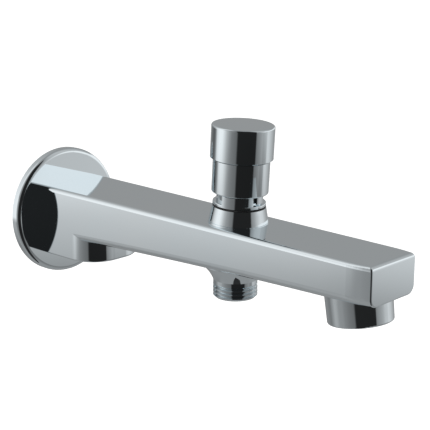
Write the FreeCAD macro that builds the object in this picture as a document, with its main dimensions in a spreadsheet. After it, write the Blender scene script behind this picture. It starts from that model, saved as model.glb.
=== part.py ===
import FreeCAD, Part
import math
import os
import re

import Sketcher

# Bath spout with a lift-and-turn diverter, millimetres.
# +X leads away from the wall, +Z is up, and the origin is the centre of the flange's back rim.
# The knob, its valve and the outlet have local frames whose +Z is their own axis.

os.makedirs("parts", exist_ok=True)
doc = FreeCAD.newDocument("BathSpout")

# Driving dimensions: one plain number per cell, each with its own alias.
sizes = {
    # how far cutting outlines run past the piece, and the gaps that many pieces share
    "cutOverrun": 1.0,
    "seatGap": 0.05,
    "looseGap": 0.1,
    "ringPlay": 0.02,
    "smallBevel": 0.4,
    # casting
    "bodyLength": 215.0,
    "rearTop": 16.9,
    "frontTop": 15.0,
    "rearBottom": 10.2,
    "frontBottom": 3.0,
    "undersideRadius": 4200.0,
    "rearHalfWidth": 19.5,
    "frontHalfWidth": 16.7,
    "shoulderLength": 12.0,
    "shoulderRadius": 60.0,
    "wall": 2.5,
    "topEdgeRadius": 2.0,
    "bottomEdgeRadius": 4.2,
    "frontCornerRadius": 0.8,
    "blockCornerStart": 30.5,
    "blockCornerRadius": 15.5,
    "blockBottom": 19.0,
    "blockEdgeRadius": 1.0,
    # wall side
    "flangeRadius": 33.4,
    "flangeHeight": 5.0,
    "flangeSheet": 1.2,
    "flangeRimRadius": 2.4,
    "tailRadius": 13.5,
    "tailEnd": 0.0,
    "tailClearance": 0.2,
    "gasketWidth": 6.3,
    "gasketClearance": 0.1,
    "flangeRingWire": 1.1,
    "inletRadius": 9.32,
    "inletDepth": 16.0,
    "washerPocketRadius": 8.6,
    "washerThickness": 1.5,
    "inletPassage": 6.5,
    "chamberStart": 22.0,
    "chamberHalfWidth": 14.0,
    "deepChamberEnd": 34.0,
    # diverter neck and bonnet, heights measured along the knob axis from the top face
    "knobX": 128.0,
    "knobTilt": 3.6,
    "neckFlare": 1.0,
    "neckFoot": 1.1,
    "neckBaseRadius": 13.9,
    "neckTopRadius": 12.5,
    "neckHeight": 7.8,
    "neckBore": 10.4,
    "boreFloor": 17.8,
    "bonnetGasketThickness": 0.7,
    "bonnetRingRadius": 12.35,
    "bonnetRingHeight": 1.6,
    "bonnetRingRound": 0.5,
    "bonnetRingBevel": 0.3,
    "bonnetSpigotRadius": 9.9,
    "bonnetSpigotHeight": 5.5,
    "bonnetBottom": 2.6,
    "threadClearance": 0.05,
    "springPocketRadius": 6.2,
    "springPocketTop": 6.0,
    "glandRadius": 5.25,
    "glandFloor": 8.6,
    "glandBushHeight": 1.8,
    "glandBushGap": 0.03,
    "lugGap": 0.3,
    "lugOverlap": 0.5,
    "lugStart": -87.0,
    "lugSpan": 47.0,
    # valve
    "cageClearance": 0.15,
    "cageInner": 8.7,
    "cageSealThickness": 0.6,
    "seatHole": 5.5,
    "lowerSeatThickness": 1.2,
    "upperSeatLevel": 9.45,
    "upperSeatThickness": 1.1,
    "windowHalfWidth": 6.5,
    "windowMargin": 0.6,
    "cageRingWire": 0.53,
    "sealThickness": 1.0,
    "discRadius": 8.0,
    "discThickness": 1.4,
    "hubRadius": 3.7,
    "hubHeight": 1.55,
    "springWire": 0.9,
    "springMeanRadius": 4.35,
    "springTurns": 8,
    "springSealGap": 0.3,
    "spindleRadius": 3.0,
    "spindleEndRadius": 2.5,
    "runningClearance": 0.06,
    "nutRadius": 4.4,
    "nutHeight": 2.6,
    # knob
    "sleeveRadius": 13.16,
    "sleeveInner": 11.0,
    "sleeveBottom": 14.35,
    "sleeveTop": 29.6,
    "sleeveEdgeRadius": 0.6,
    "sleeveUpperInner": 10.2,
    "skirtHeight": 6.9,
    "skirtStep": 1.0,
    "capSeatWall": 1.26,
    "capSeatGap": 0.3,
    "webLevel": 33.0,
    "webThickness": 4.0,
    "ribGap": 0.5,
    "ribOverlap": 0.2,
    "ribStart": -2.0,
    "ribSpan": 27.0,
    "capRadius": 14.53,
    "capTop": 45.75,
    "capChamfer": 0.8,
    "capEdgeRadius": 0.9,
    "capTopWall": 2.6,
    "screwRadius": 1.95,
    "screwLength": 10.0,
    "screwTipGap": 0.2,
    "screwHeadRadius": 3.5,
    "screwHeadHeight": 2.4,
    "screwSlot": 1.0,
    "washerRadius": 4.5,
    "knobWasherThickness": 0.6,
    # hand-shower outlet
    "stubX": 126.3,
    "stubBottom": 20.5,
    "stubNeckRadius": 10.4,
    "stubNeckBottom": 13.6,
    "stubFlareBottom": 11.8,
    "stubFlareRadius": 15.4,
    "stubFlareCurve": 20.0,
    "pipeThreadRadius": 10.4775,
    "pipeThreadPitch": 1.814,
    "pipeThreadDepth": 1.1,
    "pipeThreadRoot": 0.1,
    "pipeThreadFlank": 27.5,
    "pipeThreadStart": 1.9,
    "pipeThreadTurns": 3,
    "pipeThreadChamfer": 1.1,
    "nippleReliefHeight": 0.6,
    "nippleReliefDepth": 0.3,
    "nippleSocketRadius": 8.65,
    "nippleSocketDepth": 5.4,
    "nippleRingWire": 0.53,
    "nippleTopGap": 0.3,
    # spout outlet, heights measured along its axis from its bottom face
    "outletSetback": 15.9,
    "outletBottom": 15.2,
    "outletTilt": 7.9,
    "outletRadius": 14.4,
    "outletTaper": 0.36,
    "outletHeight": 14.5,
    "outletEdgeRadius": 0.8,
    "aeratorThreadRadius": 12.0,
    "aeratorDepth": 10.6,
    "outletPassage": 9.4,
    "aeratorRecess": 0.4,
    "aeratorWall": 1.5,
    "aeratorLip": 1.0,
    "keySlotWidth": 3.0,
    "gridThickness": 0.9,
    "gridHoleRadius": 0.85,
    "gridRingStep": 2.465,
    "screenThickness": 0.35,
    "screenHoleRadius": 0.6,
    "screenRingStep": 2.04,
    "aeratorSealThickness": 1.4,
    "strainerWall": 0.9,
    "strainerTopThickness": 1.2,
    "strainerHoleRadius": 1.1,
    "strainerRing": 6.4,
    "strainerHoles": 12,
}

sheet = doc.addObject("Spreadsheet::Sheet", "Dims")
for row, (alias, size) in enumerate(sizes.items(), start=1):
    sheet.set("A%d" % row, str(size))
    sheet.setAlias("A%d" % row, alias)
doc.recompute()


def dims(formula):
    """The formula with the sheet's name before each alias."""
    names = lambda match: "Dims." + match.group(0) if match.group(0) in sizes else match.group(0)
    return re.sub(r"[A-Za-z]\w*", names, str(formula))


def number(formula):
    """The formula's present value."""
    return float(sheet.evalExpression(dims(formula)))


def bind(thing, name, formula):
    thing.setExpression(name, dims(formula))


# places that several pieces share
slopeRun = "(bodyLength - flangeHeight)"
topAtKnob = "(rearTop - (rearTop - frontTop) * (knobX - flangeHeight) / %s)" % slopeRun
ringBottom = "(neckHeight + bonnetGasketThickness)"
ringTop = "(%s + bonnetRingHeight)" % ringBottom
spigotTop = "(%s + bonnetSpigotHeight)" % ringTop
cageBottom = "(cageSealThickness - boreFloor)"
lowerSeat = "(%s + lowerSeatThickness)" % cageBottom
discBottom = "(%s + seatGap + sealThickness)" % lowerSeat
discTop = "(%s + discThickness)" % discBottom
hubTop = "(%s + hubHeight)" % discTop
threadRadius = "(neckBore - threadClearance)"
capSeat = "(sleeveRadius - capSeatWall)"
outletX = "(bodyLength - outletSetback)"
aeratorRadius = "(aeratorThreadRadius - threadClearance)"


def topAt(x):
    return "(rearTop - (rearTop - frontTop) * ((%s) - flangeHeight) / %s)" % (x, slopeRun)


def bottomAt(x):
    straight = "(rearBottom - frontBottom) * ((%s) - flangeHeight) / %s - rearBottom" % (x, slopeRun)
    arch = "((%s) - flangeHeight) * (bodyLength - (%s)) / (2 * undersideRadius)" % (x, x)
    return "(%s + %s)" % (straight, arch)


def halfWidthAt(x):
    return "(rearHalfWidth - (rearHalfWidth - frontHalfWidth) * ((%s) - flangeHeight) / %s)" % (x, slopeRun)


def shoulderWidth():
    """Half the bar's width at its front face, where the shoulders have turned in from the straight sides."""
    taper = "atan((rearHalfWidth - frontHalfWidth) / %s)" % slopeRun
    turned = "asin(sin(%s) + shoulderLength / shoulderRadius)" % taper
    straight = halfWidthAt("bodyLength - shoulderLength")
    return "(%s - shoulderRadius * (cos(%s) - cos(%s)))" % (straight, taper, turned)


def onCircle(radius, degrees):
    """A point on a circle about the sketch's origin."""
    return ("(%s) * cos((%s) * 1 deg)" % (radius, degrees), "(%s) * sin((%s) * 1 deg)" % (radius, degrees))


# frames
def wallFrame(thing):
    return thing


def tiltedFrame(thing, x, z, tilt):
    """Puts a piece on an axis that leans about Y, tilt in degrees towards +X."""
    turn = FreeCAD.Rotation(FreeCAD.Vector(0, 1, 0), number(tilt))
    thing.Placement = FreeCAD.Placement(FreeCAD.Vector(number(x), 0, number(z)), turn)
    bind(thing, "Placement.Base.x", x)
    bind(thing, "Placement.Base.z", z)
    bind(thing, "Placement.Rotation.Angle", tilt)
    return thing


def knobFrame(thing):
    return tiltedFrame(thing, "knobX", topAtKnob, "knobTilt")


def outletFrame(thing):
    turn = FreeCAD.Rotation(FreeCAD.Vector(0, -1, 0), number("outletTilt"))
    thing.Placement = FreeCAD.Placement(FreeCAD.Vector(number(outletX), 0, -number("outletBottom")), turn)
    bind(thing, "Placement.Base.x", outletX)
    bind(thing, "Placement.Base.z", "-outletBottom")
    bind(thing, "Placement.Rotation.Angle", "outletTilt")
    return thing


def stubFrame(thing):
    thing.Placement = FreeCAD.Placement(
        FreeCAD.Vector(number("stubX"), 0, -number("stubBottom")), FreeCAD.Rotation())
    bind(thing, "Placement.Base.x", "stubX")
    bind(thing, "Placement.Base.z", "-stubBottom")
    return thing


# sub-parts to write, in the order they are made
subParts = []


def keep(thing, label):
    thing.Label = label
    subParts.append(thing)
    return thing


def newBody(label, frame=wallFrame):
    body = doc.addObject("PartDesign::Body", label)
    frame(body)
    return keep(body, label)


def planeOf(body, role):
    return [f for f in body.Origin.OriginFeatures if f.Role == role][0]


def newSketch(body, name, role="XZ_Plane", shift=(0, 0, 0), turn=0):
    """A sketch on the body's origin plane, shifted in that plane and turned about its normal."""
    sketch = body.newObject("Sketcher::SketchObject", name)
    sketch.AttachmentSupport = (planeOf(body, role), [""])
    sketch.MapMode = "FlatFace"
    base = FreeCAD.Vector(*[number(value) for value in shift])
    sketch.AttachmentOffset = FreeCAD.Placement(base, FreeCAD.Rotation(FreeCAD.Vector(0, 0, 1), number(turn)))
    for axis, value in zip("xyz", shift):
        if value:
            bind(sketch, "AttachmentOffset.Base." + axis, value)
    if turn:
        bind(sketch, "AttachmentOffset.Rotation.Angle", turn)
    return sketch


def hold(sketch, geometry, end, point):
    """Fixes one point of a sketch at a pair of formulas."""
    for kind, formula in zip(("DistanceX", "DistanceY"), point):
        index = sketch.addConstraint(Sketcher.Constraint(kind, geometry, end, number(formula)))
        bind(sketch, "Constraints[%d]" % index, formula)


def outline(sketch, corners):
    """A closed outline. A corner is (x, y), or (x, y, radius, side) where an arc leads to it:
    side is 1 for an arc that turns left on its way and -1 for one that turns right."""
    places = [FreeCAD.Vector(number(c[0]), number(c[1]), 0) for c in corners]
    first = None
    for index, corner in enumerate(corners):
        start = places[index - 1]
        end = places[index]
        if len(corner) == 2:
            made = sketch.addGeometry(Part.LineSegment(start, end), False)
            starts, ends = 1, 2
        else:
            radius, side = number(corner[2]), corner[3]
            chord = end - start
            depth = math.sqrt(max(radius ** 2 - (chord.Length / 2) ** 2, 0))
            across = FreeCAD.Vector(-chord.y, chord.x, 0).normalize() * side
            middle = (start + end) / 2 + across * (depth - radius)
            made = sketch.addGeometry(Part.Arc(start, middle, end), False)
            starts, ends = (1, 2) if side > 0 else (2, 1)
            size = sketch.addConstraint(Sketcher.Constraint("Radius", made, radius))
            bind(sketch, "Constraints[%d]" % size, corner[2])
        hold(sketch, made, ends, corner[:2])
        if first is None:
            first = (made, starts)
        else:
            sketch.addConstraint(Sketcher.Constraint("Coincident", previous[0], previous[1], made, starts))
        previous = (made, ends)
    sketch.addConstraint(Sketcher.Constraint("Coincident", previous[0], previous[1], first[0], first[1]))
    return sketch


def circle(sketch, radius, centre=("0", "0")):
    middle = FreeCAD.Vector(number(centre[0]), number(centre[1]), 0)
    made = sketch.addGeometry(Part.Circle(middle, FreeCAD.Vector(0, 0, 1), number(radius)), False)
    size = sketch.addConstraint(Sketcher.Constraint("Radius", made, number(radius)))
    bind(sketch, "Constraints[%d]" % size, radius)
    hold(sketch, made, 3, centre)
    return sketch


def volumeOf(body):
    doc.recompute()
    return body.Shape.Volume if body.Tip else 0.0


def feature(body, kind, name, sketch, grows, **settings):
    """Adds a sketch-based feature and checks that it changed the volume the right way."""
    before = volumeOf(body)
    made = body.newObject("PartDesign::" + kind, name)
    made.Profile = sketch
    for key, value in settings.items():
        if isinstance(value, str) and key in ("Length", "Angle", "Pitch", "Height", "Turns"):
            bind(made, key, value)
        else:
            setattr(made, key, value)
    change = volumeOf(body) - before
    if (change > 0) != grows or abs(change) < 1e-6:
        raise RuntimeError("%s of %s changed the volume by %.4f" % (name, body.Label, change))
    return made


def revolve(body, name, sketch, axis="V_Axis"):
    return feature(body, "Revolution", name, sketch, True, ReferenceAxis=(sketch, [axis]))


def groove(body, name, sketch, axis="V_Axis"):
    return feature(body, "Groove", name, sketch, False, ReferenceAxis=(sketch, [axis]))


def pad(body, name, sketch, length, **settings):
    return feature(body, "Pad", name, sketch, True, Length=length, **settings)


def pocket(body, name, sketch, length, **settings):
    return feature(body, "Pocket", name, sketch, False, Length=length, **settings)


def polar(body, name, original, count, axis):
    """Repeats a feature evenly round an axis of the body."""
    made = body.newObject("PartDesign::PolarPattern", name)
    made.Originals = [original]
    made.Axis = axis
    made.Angle = 360
    bind(made, "Occurrences", count)
    body.Tip = made
    doc.recompute()
    return made


def roundEdges(body, name, radius, wanted):
    """Rounds the edges of the body's present shape that the test picks."""
    doc.recompute()
    base = body.Tip
    picked = ["Edge%d" % (i + 1) for i, edge in enumerate(base.Shape.Edges) if wanted(edge)]
    if not picked:
        raise RuntimeError("no edge found for " + name)
    made = body.newObject("PartDesign::Fillet", name)
    made.Base = (base, picked)
    bind(made, "Radius", radius)
    doc.recompute()
    if "Invalid" in made.State or not made.Shape.isValid():
        raise RuntimeError("%s of %s failed" % (name, body.Label))
    return made


def turnedPiece(label, frame, corners, axis="V_Axis"):
    """A piece turned on a lathe from one outline of (radius, height) corners."""
    body = newBody(label, frame)
    revolve(body, label + "Turning", outline(newSketch(body, label + "Section"), corners), axis)
    return body


def ringPiece(label, frame, inner, outer, bottom, top):
    return turnedPiece(label, frame, [(inner, bottom), (outer, bottom), (outer, top), (inner, top)])


def sealRing(label, major, wire, height):
    """An O-ring about Z, as a torus that is moved later by its frame."""
    ring = doc.addObject("Part::Torus", label)
    bind(ring, "Radius1", major)
    bind(ring, "Radius2", wire)
    ring.Placement.Base.z = number(height)
    bind(ring, "Placement.Base.z", height)
    return ring


def placed(label, rings, frame):
    """Seal rings gathered in one piece that stands in a frame."""
    group = doc.addObject("Part::Compound", label)
    group.Links = rings
    frame(group)
    return keep(group, label)


def rectangle(sketch, left, bottom, right, top):
    return outline(sketch, [(left, bottom), (right, bottom), (right, top), (left, top)])


def sector(sketch, inner, outer, start, span):
    """A ring sector about the sketch's origin, angles in degrees."""
    stop = "(%s) + (%s)" % (start, span)
    return outline(sketch, [
        onCircle(inner, start) + (inner, -1),
        onCircle(outer, start),
        onCircle(outer, stop) + (outer, 1),
        onCircle(inner, stop),
    ])


# spout_body: the brass casting
def makeBody():
    body = newBody("spout_body")

    side = newSketch(body, "SideProfile")
    outline(side, [
        ("flangeHeight", "rearTop"),
        ("flangeHeight", "-rearBottom"),
        ("bodyLength", "-frontBottom", "undersideRadius", -1),
        ("bodyLength", "frontTop"),
    ])
    pad(body, "Bar", side, "2 * rearHalfWidth", Midplane=True)

    shoulderFoot = halfWidthAt("bodyLength - shoulderLength")
    plan = newSketch(body, "PlanTrim", "XY_Plane")
    rectangle(plan, "-bodyLength", "-2 * rearHalfWidth", "2 * bodyLength", "2 * rearHalfWidth")
    outline(plan, [
        ("-flangeHeight", halfWidthAt("-flangeHeight")),
        ("-flangeHeight", "-" + halfWidthAt("-flangeHeight")),
        ("bodyLength - shoulderLength", "-" + shoulderFoot),
        ("bodyLength", "-" + shoulderWidth(), "shoulderRadius", 1),
        ("bodyLength + cutOverrun", "-" + shoulderWidth()),
        ("bodyLength + cutOverrun", shoulderWidth()),
        ("bodyLength", shoulderWidth()),
        ("bodyLength - shoulderLength", shoulderFoot, "shoulderRadius", 1),
    ])
    pocket(body, "SideTaper", plan, "3 * rearTop + 3 * rearBottom", Midplane=True)

    rearFace = number("flangeHeight")
    level = lambda e: max(e.BoundBox.XLength, e.BoundBox.YLength) > e.BoundBox.ZLength
    clear = lambda e: e.BoundBox.XMax > rearFace + 1
    frontFace = number("bodyLength")
    high = number("frontTop") / 2
    roundEdges(body, "BottomEdges", "bottomEdgeRadius",
               lambda e: clear(e) and level(e) and e.BoundBox.ZMax < 0 and e.BoundBox.XMin < rearFace + 1)
    roundEdges(body, "FrontEdges", "frontCornerRadius",
               lambda e: e.BoundBox.XMin > frontFace - 0.001 and e.BoundBox.ZMin < high)
    roundEdges(body, "TopEdges", "topEdgeRadius",
               lambda e: clear(e) and level(e) and e.BoundBox.ZMin > high)

    block = newSketch(body, "BlockPlan", "XY_Plane")
    cornerFoot = halfWidthAt("blockCornerStart")
    noseFlat = "(%s - blockCornerRadius)" % cornerFoot
    noseFront = "blockCornerStart + blockCornerRadius"
    outline(block, [
        ("flangeHeight", "rearHalfWidth"),
        ("flangeHeight", "-rearHalfWidth"),
        ("blockCornerStart", "-" + cornerFoot),
        (noseFront, "-" + noseFlat, "blockCornerRadius", 1),
        (noseFront, noseFlat),
        ("blockCornerStart", cornerFoot, "blockCornerRadius", 1),
    ])
    pad(body, "InletBlock", block, "blockBottom", Reversed=True)
    roundEdges(body, "BlockEdges", "blockEdgeRadius",
               lambda e: clear(e) and e.BoundBox.ZMax < 0.001 - number("blockBottom"))

    tail = newSketch(body, "TailSection")
    rectangle(tail, "tailEnd", "0", "flangeHeight + wall", "tailRadius")
    revolve(body, "Tail", tail, "H_Axis")

    neck = newSketch(body, "NeckSection", shift=("knobX", topAtKnob, "0"), turn="-knobTilt")
    outline(neck, [
        ("0", "-wall"),
        ("neckBaseRadius", "-wall"),
        ("neckBaseRadius + neckFlare", "-neckFoot"),
        ("neckBaseRadius", "neckFlare", "neckFlare + neckFoot", -1),
        ("neckTopRadius", "neckHeight"),
        ("0", "neckHeight"),
    ])
    revolve(body, "DiverterNeck", neck)

    stub = newSketch(body, "StubSection", shift=("stubX", "0", "0"))
    stubLevel = bottomAt("stubX")
    outline(stub, [
        ("0", "-stubNeckBottom"),
        ("stubNeckRadius", "-stubNeckBottom"),
        ("stubNeckRadius", "-stubFlareBottom"),
        ("stubFlareRadius", stubLevel, "stubFlareCurve", -1),
        ("stubFlareRadius", stubLevel + " + wall / 2"),
        ("0", stubLevel + " + wall / 2"),
    ])
    revolve(body, "StubNeck", stub)

    outlet = newSketch(body, "OutletSection", shift=(outletX, "-outletBottom", "0"), turn="outletTilt")
    outline(outlet, [
        ("0", "0"),
        ("outletRadius - outletEdgeRadius", "0"),
        ("outletRadius", "outletEdgeRadius", "outletEdgeRadius", 1),
        ("outletRadius + outletTaper", "outletHeight"),
        ("0", "outletHeight"),
    ])
    revolve(body, "OutletBoss", outlet)

    # waterways
    inlet = newSketch(body, "InletSection")
    outline(inlet, [
        ("tailEnd - cutOverrun", "0"),
        ("tailEnd - cutOverrun", "inletRadius"),
        ("inletDepth", "inletRadius"),
        ("inletDepth", "washerPocketRadius"),
        ("inletDepth + washerThickness + looseGap", "washerPocketRadius"),
        ("inletDepth + washerThickness + looseGap", "inletPassage"),
        ("chamberStart + cutOverrun", "inletPassage"),
        ("chamberStart + cutOverrun", "0"),
    ])
    groove(body, "InletSocket", inlet, "H_Axis")

    neckWall = "(neckBore + wall)"
    rear = newSketch(body, "RearChamber")
    rearEnd = "knobX - " + neckWall
    outline(rear, [
        ("chamberStart", topAt("chamberStart") + " - wall"),
        ("chamberStart", "wall - blockBottom"),
        ("deepChamberEnd", "wall - blockBottom"),
        ("deepChamberEnd", bottomAt("deepChamberEnd") + " + wall"),
        (rearEnd, bottomAt(rearEnd) + " + wall"),
        (rearEnd, topAt(rearEnd) + " - wall"),
    ])
    pocket(body, "RearWaterway", rear, "2 * chamberHalfWidth", Midplane=True)

    front = newSketch(body, "FrontChamber")
    frontStart = "knobX + " + neckWall
    frontEnd = "bodyLength - 2 * wall"
    outline(front, [
        (frontStart, topAt(frontStart) + " - wall"),
        (frontStart, bottomAt(frontStart) + " + wall"),
        (frontEnd, bottomAt(frontEnd) + " + wall"),
        (frontEnd, topAt(frontEnd) + " - wall"),
    ])
    pocket(body, "FrontWaterway", front, "2 * (frontHalfWidth - wall)", Midplane=True)

    bore = newSketch(body, "NeckBoreSection", shift=("knobX", topAtKnob, "0"), turn="-knobTilt")
    rectangle(bore, "0", "-boreFloor", "neckBore", "neckHeight + cutOverrun")
    groove(body, "NeckBoring", bore)

    lowWindow = newSketch(body, "RearWindow", shift=("knobX", topAtKnob, "0"), turn="-knobTilt")
    rectangle(lowWindow, "-neckBore - 2 * wall", lowerSeat + " + windowMargin", "0",
              "-upperSeatLevel - windowMargin")
    pocket(body, "RearWindowCut", lowWindow, "2 * windowHalfWidth", Midplane=True)

    highWindow = newSketch(body, "FrontWindow", shift=("knobX", topAtKnob, "0"), turn="-knobTilt")
    rectangle(highWindow, "0", "upperSeatThickness - upperSeatLevel + windowMargin",
              "neckBore + 2 * wall", "-bonnetBottom - windowMargin")
    pocket(body, "FrontWindowCut", highWindow, "2 * windowHalfWidth", Midplane=True)

    port = newSketch(body, "StubPortSection", shift=("stubX", "0", "0"))
    outline(port, [
        ("0", "-stubNeckBottom - cutOverrun"),
        ("nippleSocketRadius", "-stubNeckBottom - cutOverrun"),
        ("nippleSocketRadius", "nippleSocketDepth - stubNeckBottom"),
        ("inletPassage", "nippleSocketDepth - stubNeckBottom"),
        ("inletPassage", bottomAt("stubX") + " + 2 * wall"),
        ("0", bottomAt("stubX") + " + 2 * wall"),
    ])
    groove(body, "StubPort", port)

    drain = newSketch(body, "OutletBoreSection", shift=(outletX, "-outletBottom", "0"), turn="outletTilt")
    outline(drain, [
        ("0", "-cutOverrun"),
        ("aeratorThreadRadius", "-cutOverrun"),
        ("aeratorThreadRadius", "aeratorDepth"),
        ("outletPassage", "aeratorDepth"),
        ("outletPassage", "outletHeight + 2 * wall"),
        ("0", "outletHeight + 2 * wall"),
    ])
    groove(body, "OutletBoring", drain)
    print("spout_body made")


# wall side
def makeWallSide():
    body = newBody("wall_flange")
    section = newSketch(body, "FlangeSection")
    hole = "tailRadius + tailClearance"
    outline(section, [
        ("0", "flangeRadius - flangeSheet"),
        ("flangeHeight - flangeRimRadius", "flangeRadius - flangeSheet"),
        ("flangeHeight - flangeSheet", "flangeRadius - flangeRimRadius", "flangeRimRadius - flangeSheet", -1),
        ("flangeHeight - flangeSheet", hole),
        ("flangeHeight", hole),
        ("flangeHeight", "flangeRadius - flangeRimRadius"),
        ("flangeHeight - flangeRimRadius", "flangeRadius", "flangeRimRadius", 1),
        ("0", "flangeRadius"),
    ])
    revolve(body, "FlangeTurning", section, "H_Axis")

    gasket = newBody("wall_gasket")
    section = newSketch(gasket, "GasketSection")
    gasketOuter = "(flangeRadius - flangeRimRadius - gasketClearance)"
    rectangle(section, "0", gasketOuter + " - gasketWidth", "flangeHeight - flangeSheet", gasketOuter)
    revolve(gasket, "GasketTurning", section, "H_Axis")

    washer = newBody("inlet_washer")
    section = newSketch(washer, "WasherSection")
    rectangle(section, "inletDepth + seatGap", "inletPassage + looseGap",
              "inletDepth + seatGap + washerThickness", "washerPocketRadius - seatGap")
    revolve(washer, "WasherTurning", section, "H_Axis")

    ring = doc.addObject("Part::Torus", "flange_o_ring")
    bind(ring, "Radius1", "tailRadius + seatGap + flangeRingWire")
    bind(ring, "Radius2", "flangeRingWire")
    across = FreeCAD.Rotation(FreeCAD.Vector(0, 1, 0), 90)
    ring.Placement = FreeCAD.Placement(FreeCAD.Vector(0, 0, 0), across)
    bind(ring, "Placement.Base.x", "flangeHeight - flangeSheet - flangeRingWire")
    keep(ring, "flange_o_ring")
    print("wall side made")


# hand-shower outlet
def makeHandShowerOutlet():
    body = newBody("hand_shower_nipple", stubFrame)
    section = newSketch(body, "NippleSection")
    shoulder = "(stubBottom - stubNeckBottom)"
    upper = "(nippleSocketRadius - threadClearance)"
    outline(section, [
        ("inletPassage", "0"),
        ("pipeThreadRadius - pipeThreadChamfer", "0"),
        ("pipeThreadRadius", "pipeThreadChamfer"),
        ("pipeThreadRadius", shoulder + " - nippleReliefHeight"),
        ("stubNeckRadius - nippleReliefDepth", shoulder + " - nippleReliefHeight + nippleReliefDepth"),
        ("stubNeckRadius - nippleReliefDepth", shoulder),
        (upper, shoulder),
        (upper, shoulder + " + nippleSocketDepth - nippleTopGap"),
        ("inletPassage", shoulder + " + nippleSocketDepth - nippleTopGap"),
    ])
    revolve(body, "NippleTurning", section)

    valley = newSketch(body, "ThreadValley")
    root = "(pipeThreadRadius - pipeThreadDepth)"
    crest = "(pipeThreadRadius + cutOverrun)"
    halfGap = "(pipeThreadRoot + (%s - %s) * tan(pipeThreadFlank * 1 deg))" % (crest, root)
    outline(valley, [
        (crest, "pipeThreadStart - " + halfGap),
        (crest, "pipeThreadStart + " + halfGap),
        (root, "pipeThreadStart + pipeThreadRoot"),
        (root, "pipeThreadStart - pipeThreadRoot"),
    ])
    first = groove(body, "ThreadValleyTurning", valley)
    rows = body.newObject("PartDesign::LinearPattern", "ThreadValleys")
    rows.Originals = [first]
    rows.Direction = (planeOf(body, "XY_Plane"), [""])
    bind(rows, "Length", "pipeThreadPitch * (pipeThreadTurns - 1)")
    bind(rows, "Occurrences", "pipeThreadTurns")
    body.Tip = rows
    doc.recompute()

    ringSeat = newSketch(body, "RingSeat")
    seatMiddle = "(%s + nippleSocketDepth / 2)" % shoulder
    deep = "(nippleSocketRadius - 2 * nippleRingWire - 2 * ringPlay)"
    rectangle(ringSeat, deep, seatMiddle + " - nippleRingWire - seatGap", "nippleSocketRadius + cutOverrun",
              seatMiddle + " + nippleRingWire + seatGap")
    groove(body, "RingSeatTurning", ringSeat)

    ring = sealRing("NippleRing", "nippleSocketRadius - nippleRingWire - ringPlay", "nippleRingWire",
                    seatMiddle)
    placed("nipple_o_ring", [ring], stubFrame)
    print("hand-shower outlet made")


# bonnet, its seals and the valve cage
def makeBonnet():
    body = turnedPiece("diverter_bonnet", knobFrame, [
        ("springPocketRadius", "-bonnetBottom"),
        (threadRadius, "-bonnetBottom"),
        (threadRadius, ringBottom),
        ("bonnetRingRadius - bonnetRingBevel", ringBottom),
        ("bonnetRingRadius", ringBottom + " + bonnetRingBevel"),
        ("bonnetRingRadius", ringTop + " - bonnetRingRound"),
        ("bonnetRingRadius - bonnetRingRound", ringTop, "bonnetRingRound", 1),
        ("bonnetSpigotRadius", ringTop),
        ("bonnetSpigotRadius", spigotTop),
        ("glandRadius", spigotTop),
        ("glandRadius", "glandFloor"),
        ("spindleRadius + runningClearance", "glandFloor"),
        ("spindleRadius + runningClearance", "springPocketTop"),
        ("springPocketRadius", "springPocketTop"),
    ])
    lugFoot = "(%s - bonnetRingRound - lugOverlap)" % ringTop
    lug = newSketch(body, "LugPlan", "XY_Plane", shift=("0", "0", lugFoot))
    sector(lug, "bonnetSpigotRadius - lugOverlap", "bonnetRingRadius", "lugStart", "lugSpan")
    first = pad(body, "Lug", lug, "sleeveBottom - lugGap - " + lugFoot)
    polar(body, "Lugs", first, "2", (planeOf(body, "Z_Axis"), [""]))

    ringPiece("bonnet_gasket", knobFrame, threadRadius + " + looseGap", "bonnetRingRadius - looseGap",
              "neckHeight", ringBottom)

    wire = "((glandRadius - spindleRadius) / 2 - 2 * ringPlay)"
    middle = "((glandRadius + spindleRadius) / 2)"
    lower = sealRing("LowerGlandRing", middle, wire, "glandFloor + seatGap + " + wire)
    upper = sealRing("UpperGlandRing", middle, wire, "glandFloor + seatGap + looseGap + 3 * " + wire)
    placed("gland_o_rings", [lower, upper], knobFrame)

    ringPiece("gland_bush", knobFrame, "spindleRadius + runningClearance", "glandRadius - glandBushGap",
              spigotTop + " - glandBushHeight", spigotTop)
    print("bonnet made")


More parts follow.
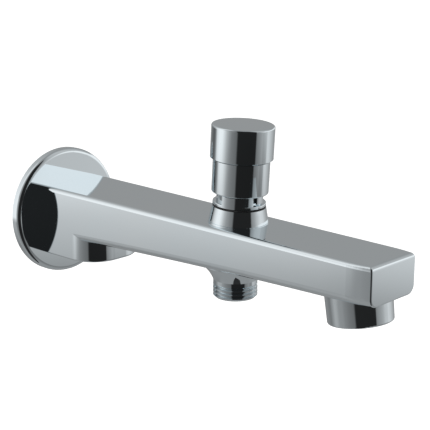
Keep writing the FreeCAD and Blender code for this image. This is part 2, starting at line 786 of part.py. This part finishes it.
def makeValveCage():
    outer = "(neckBore - cageClearance)"
    upperSeat = "(-upperSeatLevel)"
    upperSeatTop = "(upperSeatThickness - upperSeatLevel)"
    body = turnedPiece("valve_cage", knobFrame, [
        ("seatHole", cageBottom),
        (outer, cageBottom),
        (outer, "-bonnetBottom"),
        ("cageInner", "-bonnetBottom"),
        ("cageInner", upperSeatTop),
        ("seatHole", upperSeatTop),
        ("seatHole", upperSeat),
        ("cageInner", upperSeat),
        ("cageInner", lowerSeat),
        ("seatHole", lowerSeat),
    ])
    rear = newSketch(body, "CageRearWindow", "XZ_Plane")
    rectangle(rear, "-neckBore - cutOverrun", lowerSeat + " + windowMargin", "-seatHole",
              "-upperSeatLevel - windowMargin")
    pocket(body, "CageRearCut", rear, "2 * windowHalfWidth", Midplane=True)
    front = newSketch(body, "CageFrontWindow", "XZ_Plane")
    rectangle(front, "seatHole", upperSeatTop + " + windowMargin", "neckBore + cutOverrun",
              "-bonnetBottom - windowMargin")
    pocket(body, "CageFrontCut", front, "2 * windowHalfWidth", Midplane=True)

    seat = newSketch(body, "CageRingSeat")
    seatMiddle = "(upperSeatThickness / 2 - upperSeatLevel)"
    deep = "(neckBore - 2 * cageRingWire - 2 * ringPlay)"
    rectangle(seat, deep, seatMiddle + " - cageRingWire - ringPlay", "neckBore + cutOverrun",
              seatMiddle + " + cageRingWire + ringPlay")
    groove(body, "CageRingSeatTurning", seat)
    ring = sealRing("CageRing", "neckBore - cageRingWire - ringPlay", "cageRingWire", seatMiddle)
    placed("cage_o_ring", [ring], knobFrame)

    ringPiece("cage_seal", knobFrame, "seatHole + wall", "neckBore - cageClearance",
              "-boreFloor", cageBottom)
    print("valve cage made")


# moving valve
def makeValve():
    turnedPiece("valve_disc", knobFrame, [
        ("spindleEndRadius + runningClearance", discBottom),
        ("discRadius", discBottom),
        ("discRadius", discTop),
        ("hubRadius", discTop),
        ("hubRadius", hubTop),
        ("spindleEndRadius + runningClearance", hubTop),
    ])
    ringPiece("lower_valve_seal", knobFrame, "spindleEndRadius + runningClearance",
              "discRadius", discBottom + " - sealThickness", discBottom)
    ringPiece("upper_valve_seal", knobFrame, "springMeanRadius + springWire / 2 + springSealGap",
              "discRadius", discTop, discTop + " + sealThickness")

    body = newBody("diverter_spring", knobFrame)
    wire = newSketch(body, "SpringWire", "XZ_Plane")
    circle(wire, "springWire / 2", ("springMeanRadius", discTop + " + springWire / 2 + ringPlay"))
    feature(body, "AdditiveHelix", "SpringCoil", wire, True,
            ReferenceAxis=(wire, ["V_Axis"]), Mode="height-turns-angle",
            Height="springPocketTop - %s - springWire - 2 * ringPlay" % discTop,
            Turns="springTurns")
    print("valve made")


def makeSpindle():
    nutTop = "(%s - sealThickness - seatGap)" % discBottom
    nutBottom = "(%s - nutHeight)" % nutTop
    turnedPiece("spindle", knobFrame, [
        ("0", nutBottom + " - smallBevel"),
        ("spindleEndRadius - smallBevel", nutBottom + " - smallBevel"),
        ("spindleEndRadius", nutBottom),
        ("spindleEndRadius", hubTop + " + seatGap"),
        ("spindleRadius", hubTop + " + seatGap"),
        ("spindleRadius", "webLevel"),
        ("spindleEndRadius", "webLevel"),
        ("spindleEndRadius", "webLevel + webThickness - smallBevel"),
        ("screwRadius + seatGap", "webLevel + webThickness - smallBevel"),
        ("screwRadius + seatGap", "webLevel + webThickness - screwLength - screwTipGap"),
        ("0", "webLevel + webThickness - screwLength - screwTipGap"),
    ])

    nut = newBody("valve_nut", knobFrame)
    plan = newSketch(nut, "NutPlan", "XY_Plane", shift=("0", "0", nutBottom))
    outline(plan, [onCircle("nutRadius", 60 * corner) for corner in range(6)])
    circle(plan, "spindleEndRadius + seatGap")
    pad(nut, "NutBlank", plan, "nutHeight")
    print("spindle made")


# knob
def makeKnob():
    sleeve = turnedPiece("knob_sleeve", knobFrame, [
        ("sleeveInner", "sleeveBottom"),
        ("sleeveRadius - sleeveEdgeRadius", "sleeveBottom"),
        ("sleeveRadius", "sleeveBottom + sleeveEdgeRadius", "sleeveEdgeRadius", 1),
        ("sleeveRadius", "sleeveTop"),
        (capSeat, "sleeveTop"),
        (capSeat, "webLevel + webThickness"),
        ("spindleEndRadius + seatGap", "webLevel + webThickness"),
        ("spindleEndRadius + seatGap", "webLevel"),
        ("sleeveUpperInner", "webLevel"),
        ("sleeveUpperInner", "sleeveBottom + skirtHeight + skirtStep"),
        ("sleeveInner", "sleeveBottom + skirtHeight"),
    ])
    rib = newSketch(sleeve, "RibPlan", "XY_Plane", shift=("0", "0", ringTop + " + ribGap"))
    sector(rib, "sleeveUpperInner", "sleeveInner + ribOverlap", "ribStart", "ribSpan")
    first = pad(sleeve, "Rib", rib, "sleeveBottom + skirtHeight + skirtStep - %s - ribGap" % ringTop)
    polar(sleeve, "Ribs", first, "2", (planeOf(sleeve, "Z_Axis"), [""]))

    seatTop = "webLevel + webThickness + capSeatGap"
    turnedPiece("knob_cap", knobFrame, [
        (capSeat + " + seatGap", "sleeveTop + seatGap"),
        ("sleeveRadius - looseGap", "sleeveTop + seatGap"),
        ("capRadius", "sleeveTop + seatGap + capChamfer"),
        ("capRadius", "capTop - capEdgeRadius"),
        ("capRadius - capEdgeRadius", "capTop", "capEdgeRadius", 1),
        ("0", "capTop"),
        ("0", "capTop - capTopWall"),
        ("sleeveUpperInner", "capTop - capTopWall"),
        ("sleeveUpperInner", seatTop),
        (capSeat + " + seatGap", seatTop),
    ])

    ringPiece("knob_washer", knobFrame, "screwRadius + looseGap", "washerRadius",
              "webLevel + webThickness", "webLevel + webThickness + knobWasherThickness")

    under = "(webLevel + webThickness + knobWasherThickness)"
    screw = turnedPiece("knob_screw", knobFrame, [
        ("0", "webLevel + webThickness - screwLength"),
        ("screwRadius", "webLevel + webThickness - screwLength"),
        ("screwRadius", under),
        ("screwHeadRadius", under),
        ("screwHeadRadius", under + " + screwHeadHeight - smallBevel"),
        ("screwHeadRadius - smallBevel", under + " + screwHeadHeight"),
        ("0", under + " + screwHeadHeight"),
    ])
    slot = newSketch(screw, "ScrewSlot", "XZ_Plane")
    rectangle(slot, "-screwSlot / 2", under + " + screwHeadHeight / 2", "screwSlot / 2",
              under + " + screwHeadHeight + cutOverrun")
    pocket(screw, "SlotCut", slot, "4 * screwHeadRadius", Midplane=True)
    print("knob made")


# aerator in the spout's outlet
def holeRings(sketch, rings, radius, step):
    """A hole in the middle and rings of 6, 12, 18 and more holes round it."""
    circle(sketch, radius)
    for ring in range(1, rings + 1):
        for hole in range(6 * ring):
            circle(sketch, radius, onCircle("%d * %s" % (ring, step), 60 / ring * hole))


def makeAerator():
    lipTop = "(aeratorRecess + aeratorLip)"
    shellTop = "(aeratorDepth - aeratorSealThickness - 2 * seatGap)"
    shellInner = "(%s - aeratorWall)" % aeratorRadius
    insertRadius = "(%s - seatGap)" % shellInner
    gridTop = "(%s + gridThickness)" % lipTop
    strainerTop = "(%s - screenThickness)" % shellTop

    shell = turnedPiece("aerator_shell", outletFrame, [
        (shellInner + " - aeratorLip", "aeratorRecess"),
        (aeratorRadius + " - smallBevel", "aeratorRecess"),
        (aeratorRadius, "aeratorRecess + smallBevel"),
        (aeratorRadius, shellTop),
        (shellInner, shellTop),
        (shellInner, lipTop),
        (shellInner + " - aeratorLip", lipTop),
    ])
    keySlot = newSketch(shell, "KeySlots", "XZ_Plane")
    rectangle(keySlot, "-keySlotWidth / 2", "aeratorRecess - cutOverrun", "keySlotWidth / 2",
              "aeratorRecess + aeratorLip / 2")
    pocket(shell, "KeySlotCut", keySlot, "4 * aeratorThreadRadius", Midplane=True)

    grid = newBody("aerator_grid", outletFrame)
    plan = newSketch(grid, "GridPlan", "XY_Plane", shift=("0", "0", lipTop))
    circle(plan, insertRadius)
    holeRings(plan, 3, "gridHoleRadius", "gridRingStep")
    pad(grid, "GridPlate", plan, "gridThickness")

    cage = turnedPiece("aerator_cage", outletFrame, [
        (insertRadius + " - strainerWall", gridTop),
        (insertRadius, gridTop),
        (insertRadius, strainerTop),
        ("0", strainerTop),
        ("0", strainerTop + " - strainerTopThickness"),
        (insertRadius + " - strainerWall", strainerTop + " - strainerTopThickness"),
    ])
    jetFoot = strainerTop + " - strainerTopThickness - cutOverrun"
    jet = newSketch(cage, "JetPlan", "XY_Plane", shift=("0", "0", jetFoot))
    circle(jet, "strainerHoleRadius", ("strainerRing", "0"))
    first = pocket(cage, "Jet", jet, "strainerTopThickness + 2 * cutOverrun", Reversed=True)
    polar(cage, "Jets", first, "strainerHoles", (planeOf(cage, "Z_Axis"), [""]))

    screen = newBody("aerator_screen", outletFrame)
    plan = newSketch(screen, "ScreenPlan", "XY_Plane", shift=("0", "0", strainerTop))
    circle(plan, insertRadius)
    holeRings(plan, 4, "screenHoleRadius", "screenRingStep")
    pad(screen, "ScreenPlate", plan, "screenThickness")

    ringPiece("aerator_seal", outletFrame, "outletPassage + looseGap", "aeratorThreadRadius - looseGap",
              shellTop + " + seatGap", shellTop + " + seatGap + aeratorSealThickness")
    print("aerator made")


def checkAndWrite():
    doc.recompute()
    for thing in doc.Objects:
        if "Invalid" in thing.State or "Error" in thing.State:
            raise RuntimeError("%s is in state %s" % (thing.Label, thing.State))
    for piece in subParts:
        shape = piece.Shape
        if shape.isNull() or not shape.isValid() or not shape.Solids:
            raise RuntimeError("bad shape in " + piece.Label)
        shape.exportStep("parts/%s.step" % piece.Label)
        print("%-20s %9.1f mm3, %d solid(s)" % (piece.Label, shape.Volume, len(shape.Solids)))


makeBody()
makeWallSide()
makeHandShowerOutlet()
makeBonnet()
makeValveCage()
makeValve()
makeSpindle()
makeKnob()
makeAerator()
checkAndWrite()
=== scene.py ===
import math

import bmesh
import bpy
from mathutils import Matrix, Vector

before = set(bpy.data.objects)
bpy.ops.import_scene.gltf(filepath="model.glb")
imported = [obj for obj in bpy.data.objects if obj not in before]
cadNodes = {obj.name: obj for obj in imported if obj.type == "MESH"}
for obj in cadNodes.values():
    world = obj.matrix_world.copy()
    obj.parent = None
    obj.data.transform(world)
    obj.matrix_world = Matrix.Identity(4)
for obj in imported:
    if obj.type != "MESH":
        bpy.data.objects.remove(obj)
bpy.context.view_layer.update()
print("frame: loaded", len(cadNodes), "pieces")


# A shader socket that Python can do sums with
class Wire:
    def __init__(self, sheet, socket):
        self.sheet = sheet
        self.socket = socket

    def calculate(self, operation, first, second):
        return self.sheet.add("ShaderNodeMath", {"operation": operation}, {0: first, 1: second})

    def __add__(self, other):
        return self.calculate("ADD", self, other)

    def __radd__(self, other):
        return self.calculate("ADD", other, self)

    def __sub__(self, other):
        return self.calculate("SUBTRACT", self, other)

    def __rsub__(self, other):
        return self.calculate("SUBTRACT", other, self)

    def __mul__(self, other):
        return self.calculate("MULTIPLY", self, other)

    def __rmul__(self, other):
        return self.calculate("MULTIPLY", other, self)

    def __truediv__(self, other):
        return self.calculate("DIVIDE", self, other)


# One tree of shader nodes
class Sheet:
    def __init__(self, tree):
        self.tree = tree
        tree.nodes.clear()

    def node(self, kind, settings, sockets):
        made = self.tree.nodes.new(kind)
        for name, value in settings.items():
            if name == "stops":
                self.fillRamp(made.color_ramp, value)
            else:
                setattr(made, name, value)
        for name, value in sockets.items():
            target = made.inputs[name]
            if isinstance(value, Wire):
                self.tree.links.new(value.socket, target)
            else:
                target.default_value = value
        return made

    def add(self, kind, settings, sockets, output=0):
        return Wire(self, self.node(kind, settings, sockets).outputs[output])

    def fillRamp(self, ramp, stops):
        while len(ramp.elements) > 1:
            ramp.elements.remove(ramp.elements[-1])
        for index, (place, colour) in enumerate(stops):
            stop = ramp.elements[0] if index == 0 else ramp.elements.new(place)
            stop.position = place
            stop.color = opaque(colour)

    # Inputs 6 and 7 and output 2 are this node's colour sockets
    def mix(self, share, first, second):
        return self.add("ShaderNodeMix", {"data_type": "RGBA"},
                        {0: share, 6: opaque(first), 7: opaque(second)}, 2)

    def ease(self, value, low, high, start=0.0, end=1.0, kind="SMOOTHSTEP"):
        return self.add("ShaderNodeMapRange", {"interpolation_type": kind},
                        {"Value": value, "From Min": low, "From Max": high,
                         "To Min": start, "To Max": end})

    # The scale is in waves per metre
    def noise(self, where, scale, detail=2.0, roughness=0.5):
        return self.add("ShaderNodeTexNoise", {},
                        {"Vector": where, "Scale": scale, "Detail": detail,
                         "Roughness": roughness})

    def stretched(self, where, factors):
        return self.add("ShaderNodeVectorMath", {"operation": "MULTIPLY"}, {0: where, 1: factors})

    # The depth is in metres
    def bump(self, height, depth):
        return self.add("ShaderNodeBump", {},
                        {"Strength": 1.0, "Distance": depth, "Height": height})


def opaque(colour):
    return colour if isinstance(colour, Wire) else (*colour, 1)


def newFinish(name):
    material = bpy.data.materials.new(name)
    material.use_nodes = True
    sheet = Sheet(material.node_tree)
    place = sheet.add("ShaderNodeTexCoord", {}, {}, "Object")
    return material, sheet, place


def closeFinish(sheet, sockets):
    shader = sheet.add("ShaderNodeBsdfPrincipled", {}, sockets)
    sheet.node("ShaderNodeOutputMaterial", {}, {"Surface": shader})


# Light level of a screen tone from 0 to 255, by the screen's own curve
def tone(grey):
    share = grey / 255
    return ((share + 0.055) / 1.055) ** 2.4 if share > 0.04 else share / 12.92


def addObject(name, data):
    made = bpy.data.objects.new(name, data)
    bpy.context.scene.collection.objects.link(made)
    return made


def aimAt(thing, look):
    thing.location = look["place"]
    aim = Vector(look["target"]) - Vector(look["place"])
    thing.rotation_mode = "QUATERNION"
    thing.rotation_quaternion = aim.to_track_quat("-Z", "Y")


# Camera at the photograph's angle
cameraLook = {
    "place": (0.47404, -0.37925, 0.14987),
    "target": (0.1132, 0.0, 0.01615),
    "focalPixels": 1150,
    "frameWidth": 430,
    "sensor": 36.0,
    "nearest": 0.01,
    "farthest": 40,
}


def makeCamera(look):
    camera = addObject("photoCamera", bpy.data.cameras.new("photoCamera"))
    camera.data.sensor_width = look["sensor"]
    camera.data.lens = look["focalPixels"] / look["frameWidth"] * look["sensor"]
    camera.data.clip_start = look["nearest"]
    camera.data.clip_end = look["farthest"]
    aimAt(camera, look)
    bpy.context.scene.camera = camera


makeCamera(cameraLook)
print("camera: placed")


# Studio round the spout: what the chrome mirrors. Each ring is a list of (compass angle, value).
# Angles and heights are in degrees, and light levels are screen tones from 0 to 255.
studioLook = {
    # Level just over the horizon, and where the horizon lies
    "walls": [(-180, 98), (-172, 94), (-165, 108), (-156, 165), (-147, 205), (-137, 218),
              (-127, 218), (-117, 200), (-107, 170), (-97, 145), (-87, 130), (-77, 118),
              (-70, 106), (-66, 39), (-60, 37), (-4, 36), (1, 39), (3, 132), (12, 152),
              (22, 163), (32, 180), (38, 197), (45, 206), (55, 220), (64, 215), (74, 198),
              (84, 182), (102, 152), (126, 180), (145, 190), (160, 140), (170, 112)],
    "horizon": [(-180, -14.4), (-142, -14.3), (-136, -14.9), (-131, -15.9), (-127, -16.4),
                (-121, -16.0), (-115, -15.0), (-104, -14.2), (-68, -14.0), (26, -17.4),
                (34, -15.9), (44, -15.5), (52, -16.9), (62, -17.4), (180, -17.4)],
    "horizonEdge": (-3.2, 2.2),
    # Level higher up, the height where it starts, and how that start sets where it ends
    "above": [(-180, 150), (-168, 160), (-158, 215), (-148, 238), (-138, 255), (-125, 252),
              (-116, 228), (-106, 190), (-95, 158), (-80, 132), (-72, 122), (-66, 36), (1, 36),
              (5, 140), (18, 170), (30, 212), (38, 252), (90, 254), (104, 238), (118, 157),
              (135, 155), (180, 150)],
    "aboveFrom": [(-180, -7), (-166, -8), (-150, -14.6), (-92, -14.6), (-80, -10), (-66, -7),
                  (180, -7)],
    "aboveStretch": 1.6,
    "aboveDepth": 13.2,
    # Level of the ceiling's rim, and of its middle
    "overhead": [(-180, 185), (-165, 205), (-150, 232), (-140, 246), (-128, 236), (-112, 176),
                 (-95, 142), (-80, 132), (-66, 36), (1, 36), (6, 150), (25, 190), (45, 200),
                 (75, 180), (104, 156), (138, 156), (150, 166), (165, 178), (180, 185)],
    "overheadFrom": (15, 20),
    "zenith": 150,
    "zenithFrom": (66, 80),
    # Level under the horizon and straight down, and the share of it that the dark panel lets by
    "floor": [(-180, 130), (-169, 125), (-155, 155), (-145, 175), (-136, 172), (-127, 154),
              (-119, 150), (-111, 148), (-104, 138), (-97, 132), (-89, 124), (-76, 114),
              (10, 108), (22, 118), (35, 124), (49, 132), (65, 165), (86, 165), (104, 150),
              (130, 130), (165, 140), (180, 130)],
    "nadir": 150,
    "nadirFrom": (-65, -22),
    "curtain": [(-180, 255), (-72, 255), (-65, 84), (0, 84), (6, 255)],
    # A ring of heights is stored as shares of this one
    "lowestHeight": -40,
    "behindSpout": 255,
}


def makeStudio(look):
    world = bpy.data.worlds.new("studio")
    bpy.context.scene.world = world
    world.use_nodes = True
    sheet = Sheet(world.node_tree)
    heading = sheet.add("ShaderNodeTexCoord", {}, {}, "Generated")
    parts = sheet.node("ShaderNodeSeparateXYZ", {}, {"Vector": heading})
    east, north, rise = (Wire(sheet, parts.outputs[axis]) for axis in "XYZ")

    def angle(operation, sockets):
        return sheet.add("ShaderNodeMath", {"operation": operation}, sockets) * (180 / math.pi)

    def ring(stops, scale=tone):
        placed = [((degrees + 180) / 360, (scale(value),) * 3) for degrees, value in stops]
        return sheet.add("ShaderNodeValToRGB", {"stops": placed}, {"Fac": compass / 360 + 0.5})

    def heightRing(stops):
        return ring(stops, lambda height: height / look["lowestHeight"]) * look["lowestHeight"]

    def plain(grey):
        return (tone(grey),) * 3

    compass = angle("ARCTAN2", {0: north, 1: east})
    climb = angle("ARCSINE", {0: rise})
    overHorizon = sheet.ease(climb - heightRing(look["horizon"]), *look["horizonEdge"])
    under = sheet.mix(sheet.ease(climb, *look["nadirFrom"]), plain(look["nadir"]),
                      ring(look["floor"]))
    floor = sheet.mix(ring(look["curtain"]), (0, 0, 0), under)
    low = sheet.mix(overHorizon, floor, ring(look["walls"]))
    riseStart = heightRing(look["aboveFrom"])
    riseEnd = riseStart * look["aboveStretch"] + look["aboveDepth"]
    middle = sheet.mix(sheet.ease(climb, riseStart, riseEnd), low, ring(look["above"]))
    overhead = sheet.mix(sheet.ease(climb, *look["zenithFrom"]), ring(look["overhead"]),
                         plain(look["zenith"]))
    around = sheet.mix(sheet.ease(climb, *look["overheadFrom"]), middle, overhead)
    seen = sheet.add("ShaderNodeLightPath", {}, {}, "Is Camera Ray")
    shown = sheet.mix(seen, around, plain(look["behindSpout"]))
    light = sheet.add("ShaderNodeBackground", {}, {"Color": shown, "Strength": 1.0})
    sheet.node("ShaderNodeOutputWorld", {}, {"Surface": light})


makeStudio(studioLook)
print("studio: made")


# Pale floor, well below the spout as it hangs on its wall
floorLook = {
    "level": -0.45,
    "half": 14.0,
    "squares": 8,
    "pale": (0.93, 0.93, 0.925),
    "dusty": (0.90, 0.90, 0.895),
    "cloudNoise": (1.5,),
    "rough": 0.8,
    "glow": 0.8,
}


def makeFloor(look):
    form = bmesh.new()
    bmesh.ops.create_grid(form, x_segments=look["squares"], y_segments=look["squares"],
                          size=look["half"])
    bmesh.ops.translate(form, verts=form.verts, vec=(0, 0, look["level"]))
    mesh = bpy.data.meshes.new("studioFloor")
    form.to_mesh(mesh)
    form.free()
    floor = addObject("studioFloor", mesh)
    floor.visible_glossy = False
    material, sheet, place = newFinish("paleFloor")
    colour = sheet.mix(sheet.noise(place, *look["cloudNoise"]), look["pale"], look["dusty"])
    closeFinish(sheet, {"Base Color": colour, "Roughness": look["rough"],
                        "Emission Color": (1, 1, 1, 1), "Emission Strength": look["glow"]})
    mesh.materials.append(material)


makeFloor(floorLook)
print("floor: made")


# Soft overhead panel of the studio, for the matt pieces and the floor
panelLook = {
    "place": (0.25, -0.35, 1.1),
    "target": (0.11, 0, 0),
    "size": 0.9,
    "watts": 9.0,
}


def makePanel(look):
    panel = addObject("overheadPanel", bpy.data.lights.new("overheadPanel", "AREA"))
    panel.data.shape = "DISK"
    panel.data.size = look["size"]
    panel.data.energy = look["watts"]
    panel.visible_glossy = False
    aimAt(panel, look)


makePanel(panelLook)
bpy.context.scene.view_settings.view_transform = "Standard"
print("panel: made")


# In the looks below, a noise is (scale, detail, roughness), a range is the span of the noise that
# is used, and rough is the plain roughness to which the others add.

# Mirror chrome plate on the parts that show, with the faint waves, wipe marks and specks of a
# hand-polished casting
chromeLook = {
    "cool": (0.775, 0.855, 0.895),
    "warm": (0.82, 0.87, 0.895),
    "tintNoise": (18.0, 3.0),
    "wipeNoise": (260.0, 4.0, 0.6),
    "wipeStretch": (0.25, 1.0, 0.6),
    "wipeRange": (0.35, 0.75),
    "wipeRough": (0.018, 0.06),
    "speckNoise": (1900.0, 2.0),
    "speckRange": (0.62, 0.8),
    "speckRough": 0.05,
    "waveNoise": (45.0, 1.0),
    "waveDepth": 0.000006,
}


def chromePlate(look):
    material, sheet, place = newFinish("polishedChrome")
    tint = sheet.mix(sheet.noise(place, *look["tintNoise"]), look["cool"], look["warm"])
    wipe = sheet.noise(sheet.stretched(place, look["wipeStretch"]), *look["wipeNoise"])
    wiped = sheet.ease(wipe, *look["wipeRange"], *look["wipeRough"], "LINEAR")
    speck = sheet.ease(sheet.noise(place, *look["speckNoise"]), *look["speckRange"])
    wave = sheet.noise(place, *look["waveNoise"])
    closeFinish(sheet, {"Base Color": tint, "Metallic": 1.0,
                        "Roughness": wiped + speck * look["speckRough"],
                        "Normal": sheet.bump(wave, look["waveDepth"])})
    return material


# Turned brass of the valve, with lathe rings round the knob's leaning axis and some stain
brassLook = {
    "axisFoot": (0.128, 0.0, 0.0156),
    "axisLean": 3.6,
    "bright": (0.80, 0.60, 0.27),
    "dull": (0.60, 0.41, 0.17),
    "cutScale": 900.0,
    "cutDetail": 1.0,
    "faceWander": 0.6,
    "sideWander": 0.4,
    "cutDepth": 0.000012,
    "stainNoise": (120.0, 5.0, 0.65),
    "stainRange": (0.42, 0.72),
    "rough": 0.2,
    "cutRough": 0.12,
    "stainRough": 0.18,
}


def turnedBrass(look):
    material, sheet, place = newFinish("turnedBrass")
    lean = (0, math.radians(look["axisLean"]), 0)
    own = sheet.add("ShaderNodeMapping", {"vector_type": "TEXTURE"},
                    {"Vector": place, "Location": look["axisFoot"], "Rotation": lean})

    def turning(kind, wander):
        return sheet.add("ShaderNodeTexWave",
                         {"wave_type": kind, kind.lower() + "_direction": "Z"},
                         {"Vector": own, "Scale": look["cutScale"], "Distortion": wander,
                          "Detail": look["cutDetail"]})

    cut = (turning("RINGS", look["faceWander"]) + turning("BANDS", look["sideWander"])) * 0.5
    stain = sheet.ease(sheet.noise(place, *look["stainNoise"]), *look["stainRange"])
    colour = sheet.mix(stain, look["bright"], look["dull"])
    rough = look["rough"] + look["cutRough"] * cut + look["stainRough"] * stain
    closeFinish(sheet, {"Base Color": colour, "Metallic": 1.0, "Roughness": rough,
                        "Normal": sheet.bump(cut, look["cutDepth"])})
    return material


# Drawn stainless wire, washer, screw and mesh
steelLook = {
    "light": (0.66, 0.66, 0.65),
    "dark": (0.42, 0.42, 0.43),
    "grainNoise": (700.0, 4.0, 0.7),
    "grainStretch": (1.0, 1.0, 6.0),
    "grainRange": (0.35, 0.7),
    "grainDepth": 0.00001,
    "rough": 0.22,
    "grainRough": 0.22,
}


def drawnSteel(look):
    material, sheet, place = newFinish("drawnSteel")
    grain = sheet.noise(sheet.stretched(place, look["grainStretch"]), *look["grainNoise"])
    colour = sheet.mix(sheet.ease(grain, *look["grainRange"]), look["light"], look["dark"])
    closeFinish(sheet, {"Base Color": colour, "Metallic": 1.0,
                        "Roughness": look["rough"] + look["grainRough"] * grain,
                        "Normal": sheet.bump(grain, look["grainDepth"])})
    return material


# Moulded rubber of the seals: matt, with a little bloom and a fine pitted skin
rubberLook = {
    "deep": (0.012, 0.012, 0.013),
    "bloom": (0.045, 0.046, 0.048),
    "bloomNoise": (190.0, 4.0),
    "bloomRange": (0.5, 0.8),
    "skinNoise": (2600.0, 3.0, 0.6),
    "skinDepth": 0.000025,
    "rough": 0.48,
    "skinRough": 0.2,
    "bloomRough": 0.1,
}


def mouldedRubber(look):
    material, sheet, place = newFinish("mouldedRubber")
    bloom = sheet.ease(sheet.noise(place, *look["bloomNoise"]), *look["bloomRange"])
    skin = sheet.noise(place, *look["skinNoise"])
    rough = look["rough"] + look["skinRough"] * skin + look["bloomRough"] * bloom
    closeFinish(sheet, {"Base Color": sheet.mix(bloom, look["deep"], look["bloom"]),
                        "Roughness": rough, "Normal": sheet.bump(skin, look["skinDepth"])})
    return material


# Foam gasket at the wall: closed cells that show as round pits, coloured darker as painted shade
# in the pits
foamLook = {
    "skin": (0.13, 0.13, 0.135),
    # Painted shade: the colour that darkens the hollow pits
    "paintedPitShade": (0.05, 0.05, 0.055),
    "cellScale": 1400.0,
    "cellRange": (0.1, 0.5),
    "cellDepth": 0.00014,
    "rough": 0.85,
    "skinRough": 0.1,
}


def closedFoam(look):
    material, sheet, place = newFinish("closedFoam")
    cell = sheet.add("ShaderNodeTexVoronoi", {"feature": "SMOOTH_F1"},
                     {"Vector": place, "Scale": look["cellScale"]}, "Distance")
    skin = sheet.ease(cell, *look["cellRange"])
    # Painted shade: the pits get a darker colour than the skin, where the bump sinks in
    closeFinish(sheet, {"Base Color": sheet.mix(skin, look["paintedPitShade"], look["skin"]),
                        "Roughness": look["rough"] + look["skinRough"] * skin,
                        "Normal": sheet.bump(skin, look["cellDepth"])})
    return material


# Pressed vulcanised fibre of the inlet washer: red-brown, mottled, with short fibres lying flat
fibreLook = {
    "red": (0.33, 0.065, 0.035),
    "brown": (0.19, 0.045, 0.025),
    "strand": (0.52, 0.21, 0.12),
    "mottleNoise": (300.0, 5.0, 0.65),
    "mottleRange": (0.35, 0.7),
    "strandNoise": (800.0, 5.0, 0.7),
    "strandStretch": (3.0, 0.5, 1.2),
    "strandRange": (0.56, 0.72),
    "strandShare": 0.6,
    "strandDepth": 0.00005,
    "rough": 0.75,
    "strandGloss": 0.12,
}


def pressedFibre(look):
    material, sheet, place = newFinish("pressedFibre")
    mottle = sheet.ease(sheet.noise(place, *look["mottleNoise"]), *look["mottleRange"])
    fibres = sheet.noise(sheet.stretched(place, look["strandStretch"]), *look["strandNoise"])
    strand = sheet.ease(fibres, *look["strandRange"])
    ground = sheet.mix(mottle, look["red"], look["brown"])
    colour = sheet.mix(strand * look["strandShare"], ground, look["strand"])
    closeFinish(sheet, {"Base Color": colour,
                        "Roughness": look["rough"] - look["strandGloss"] * strand,
                        "Normal": sheet.bump(strand, look["strandDepth"])})
    return material


# Moulded acetal of the aerator: white, faintly cloudy, with a fine spark-eroded skin and a little
# limescale
acetalLook = {
    "white": (0.80, 0.81, 0.80),
    "cloud": (0.70, 0.715, 0.71),
    "lime": (0.62, 0.60, 0.55),
    "cloudNoise": (90.0, 3.0),
    "cloudRange": (0.3, 0.75),
    "limeNoise": (420.0, 6.0, 0.7),
    "limeRange": (0.6, 0.75),
    "limeShare": 0.35,
    "skinNoise": (2200.0, 2.0),
    "skinDepth": 0.00002,
    "refraction": 1.48,
    "rough": 0.34,
    "skinRough": 0.15,
    "limeRough": 0.25,
}


def mouldedAcetal(look):
    material, sheet, place = newFinish("mouldedAcetal")
    cloud = sheet.ease(sheet.noise(place, *look["cloudNoise"]), *look["cloudRange"])
    lime = sheet.ease(sheet.noise(place, *look["limeNoise"]), *look["limeRange"])
    skin = sheet.noise(place, *look["skinNoise"])
    ground = sheet.mix(cloud, look["white"], look["cloud"])
    colour = sheet.mix(lime * look["limeShare"], ground, look["lime"])
    rough = look["rough"] + look["skinRough"] * skin + look["limeRough"] * lime
    closeFinish(sheet, {"Base Color": colour, "Roughness": rough, "IOR": look["refraction"],
                        "Normal": sheet.bump(skin, look["skinDepth"])})
    return material


# Each CAD piece keeps its shape and gets the finish of the real one
finishes = [
    (chromePlate(chromeLook), ["spout_body", "wall_flange", "hand_shower_nipple",
                               "diverter_bonnet", "knob_sleeve", "knob_cap", "aerator_shell"]),
    (drawnSteel(steelLook), ["diverter_spring", "knob_washer", "knob_screw", "aerator_screen"]),
    (mouldedRubber(rubberLook), ["flange_o_ring", "nipple_o_ring", "bonnet_gasket",
                                 "gland_o_rings", "cage_o_ring", "cage_seal",
                                 "lower_valve_seal", "upper_valve_seal", "aerator_seal"]),
    (mouldedAcetal(acetalLook), ["aerator_grid", "aerator_cage"]),
    (turnedBrass(brassLook), ["gland_bush", "valve_cage", "valve_disc", "spindle", "valve_nut"]),
    (closedFoam(foamLook), ["wall_gasket"]),
    (pressedFibre(fibreLook), ["inlet_washer"]),
]


def dressPiece(name, finish):
    slots = cadNodes[name].data.materials
    if len(slots) == 0:
        slots.append(finish)
    for index in range(len(slots)):
        slots[index] = finish


for finish, names in finishes:
    for name in names:
        dressPiece(name, finish)
print("finishes: on", sum(len(names) for finish, names in finishes), "pieces")
